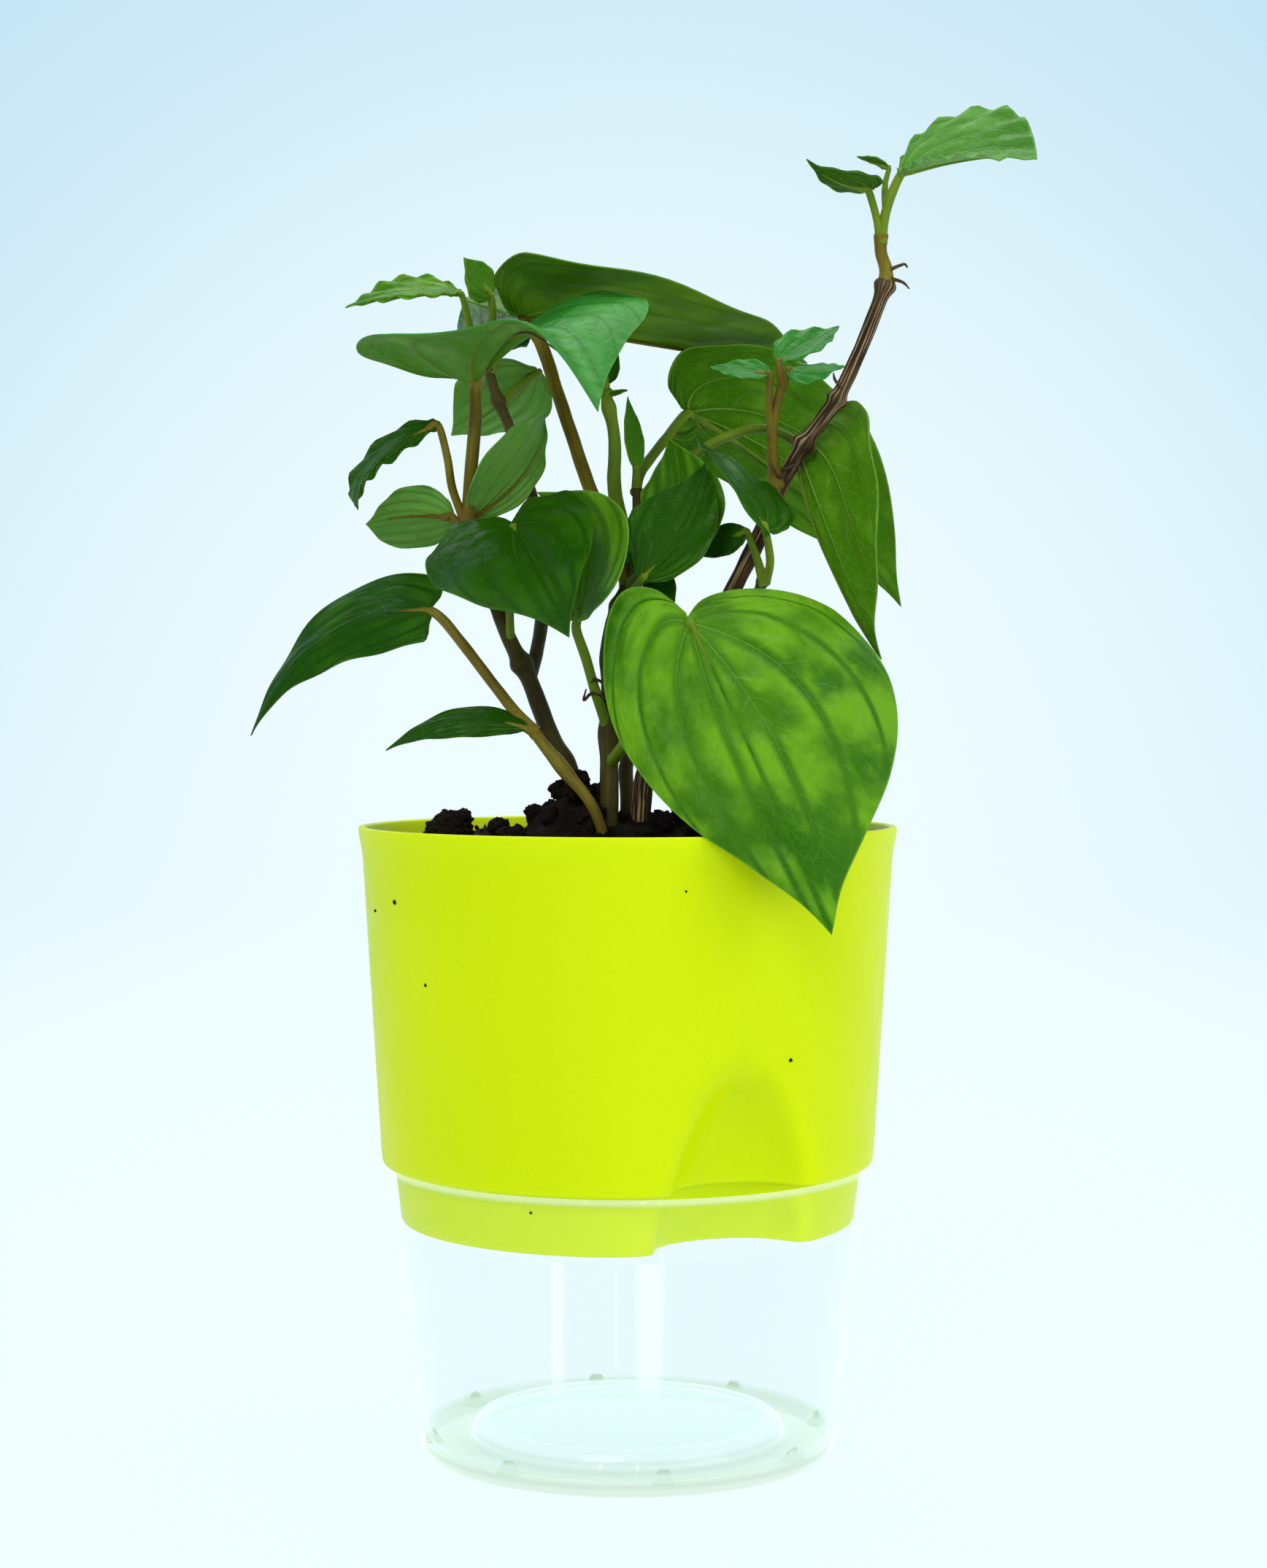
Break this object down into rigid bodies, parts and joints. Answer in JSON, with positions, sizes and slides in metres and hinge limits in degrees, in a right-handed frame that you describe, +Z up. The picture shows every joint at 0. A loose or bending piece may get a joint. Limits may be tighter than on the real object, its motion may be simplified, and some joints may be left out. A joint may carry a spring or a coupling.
{
  "type": "potted betel plant",
  "caption": "Young betel vine with heart-shaped leaves on several stems, growing in soil in a round self-watering pot that hangs in a clear water reservoir.",
  "frame": {"origin": "on the surface the pot stands on, under the pot's axis, which is the centre of the bounding box to within 1 mm", "axes": "+Z up along the pot's axis; -Y is the front of the plant; +X is the plant's right as seen from the front"},
  "size_m": [0.1734, 0.1364, 0.297],
  "materials": {
    "clear plastic": null,
    "lime plastic": "smooth satin lime green plastic",
    "soil": null,
    "woody stem": "rough brown bark",
    "green stem": null,
    "leaf": null
  },
  "bodies": {
    "root": {"reservoir": "clear plastic", "pot": "lime plastic", "soil": "soil", "loose_clod": "soil", "woody_vine": "woody stem", "crown_shoot": "green stem", "side_shoot": "green stem", "middle_stem": "green stem", "bud_shoot": "green stem", "left_stem": "green stem", "left_branch": "green stem", "front_shoot": "green stem", "back_stem": "green stem", "back_right_leaf": "leaf", "bitten_leaf": "leaf", "bright_middle_leaf": "leaf", "bud_leaf": "leaf", "crown_left_leaf": "leaf", "crown_right_leaf": "leaf", "crown_young_leaf": "leaf", "curled_bud_leaf": "leaf", "curled_left_leaf": "leaf", "dark_back_leaf": "leaf", "dark_middle_leaf": "leaf", "front_heart_leaf": "leaf", "hanging_back_leaf": "leaf", "left_drooping_leaf": "leaf", "left_heart_leaf": "leaf", "long_top_leaf": "leaf", "low_narrow_leaf": "leaf", "pale_left_leaf": "leaf", "pale_right_leaf": "leaf", "right_drooping_leaf": "leaf", "round_top_leaf": "leaf", "second_heart_leaf": "leaf", "small_dark_leaf": "leaf", "spear_leaf": "leaf", "toothed_top_leaf": "leaf", "top_saddle_leaf": "leaf", "twin_left_leaf": "leaf", "twin_right_leaf": "leaf", "twin_upper_leaf": "leaf", "twisted_leaf": "leaf"}
  },
  "joints": []
}
